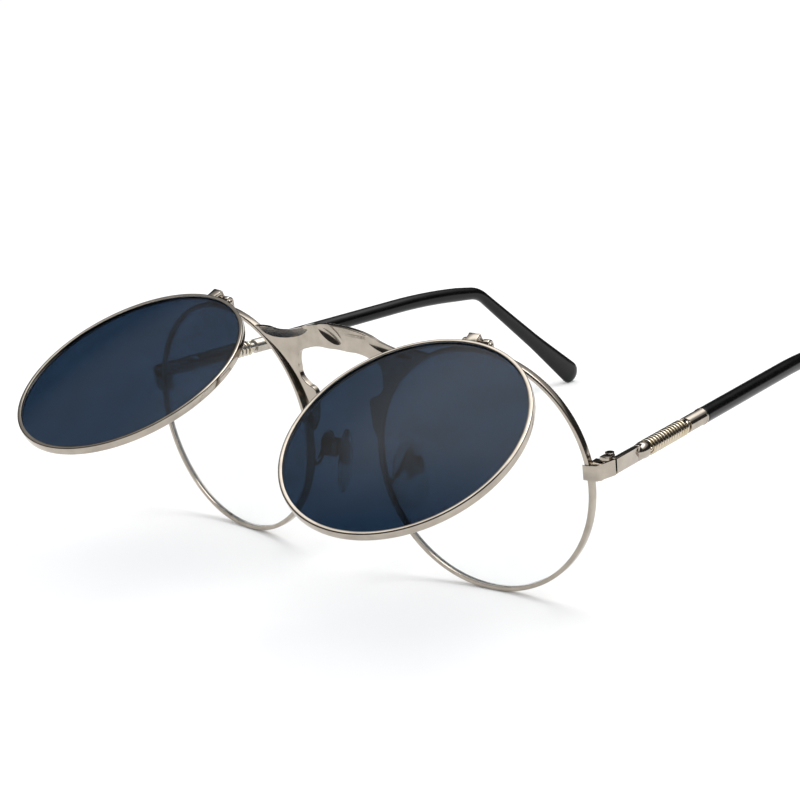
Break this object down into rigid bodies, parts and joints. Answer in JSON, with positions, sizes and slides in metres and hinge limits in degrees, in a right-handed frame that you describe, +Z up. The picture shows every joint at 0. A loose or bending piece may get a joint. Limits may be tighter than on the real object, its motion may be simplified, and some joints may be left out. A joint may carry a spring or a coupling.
{
  "type": "flip-up sunglasses",
  "caption": "Round wire eyeglasses with clear lenses, a pair of tinted lenses that flip up on hinges, and folding temples with a wire coil.",
  "frame": {"origin": "centre of the glasses' outline on the table they stand on, in the pictured pose", "axes": "+X to the wearer's left, +Y backwards along the temples, +Z up from the table"},
  "size_m": [0.126, 0.1809, 0.0527],
  "materials": {
    "metal": "polished nickel-silver plating",
    "coil": "polished wire with a pale gold tint",
    "clear_lens": "clear, polished",
    "tinted_lens": "blue-grey tint, polished",
    "tips": "glossy black",
    "pads": "soft translucent silicone"
  },
  "bodies": {
    "front": {"left_eye_rim": "metal", "left_clear_lens": "clear_lens", "right_eye_rim": "metal", "right_clear_lens": "clear_lens", "bridge": "metal", "left_end_piece": "metal", "left_rim_lock": "metal", "left_lock_screw": "metal", "left_hinge_screw": "metal", "left_flip_bracket": "metal", "left_flip_pin": "metal", "left_pad_arm": "metal", "left_pad_screw": "metal", "right_end_piece": "metal", "right_rim_lock": "metal", "right_lock_screw": "metal", "right_hinge_screw": "metal", "right_flip_bracket": "metal", "right_flip_pin": "metal", "right_pad_arm": "metal", "right_pad_screw": "metal"},
    "left_flip": {"left_flip_rim": "metal", "left_tinted_lens": "tinted_lens", "left_flip_arm": "metal"},
    "left_temple": {"left_temple_bar": "metal", "left_temple_shank": "metal", "left_coil": "coil", "left_temple_tip": "tips"},
    "left_pad": {"left_nose_pad": "pads", "left_pad_stem": "metal"},
    "right_flip": {"right_flip_rim": "metal", "right_tinted_lens": "tinted_lens", "right_flip_arm": "metal"},
    "right_temple": {"right_temple_bar": "metal", "right_temple_shank": "metal", "right_coil": "coil", "right_temple_tip": "tips"},
    "right_pad": {"right_nose_pad": "pads", "right_pad_stem": "metal"}
  },
  "joints": [
    {"name": "left_flip_hinge", "type": "hinge", "parent": "front", "child": "left_flip", "pos_m": [0.0348, -0.0434, 0.05017], "axis": [0.9942, 0.1078, 0.007], "range_deg": [-32.2, 62.8]},
    {"name": "right_flip_hinge", "type": "hinge", "parent": "front", "child": "right_flip", "pos_m": [-0.0348, -0.0434, 0.05017], "axis": [0.9942, -0.1078, -0.007], "range_deg": [-27.3, 67.7]},
    {"name": "left_temple_hinge", "type": "hinge", "parent": "front", "child": "left_temple", "pos_m": [0.0605, -0.03676, 0.02939], "axis": [-0.0052, -0.0212, 0.9998], "range_deg": [0, 83]},
    {"name": "right_temple_hinge", "type": "hinge", "parent": "front", "child": "right_temple", "pos_m": [-0.0605, -0.03676, 0.02939], "axis": [0.0052, -0.0212, 0.9998], "range_deg": [-75, 0]},
    {"name": "left_pad_rock", "type": "hinge", "parent": "front", "child": "left_pad", "pos_m": [0.0114, -0.03677, 0.02061], "axis": [0.4226, 0.9044, 0.0585], "range_deg": [-8, 8]},
    {"name": "right_pad_rock", "type": "hinge", "parent": "front", "child": "right_pad", "pos_m": [-0.0114, -0.03677, 0.02061], "axis": [0.4226, -0.9044, -0.0585], "range_deg": [-8, 8]}
  ]
}
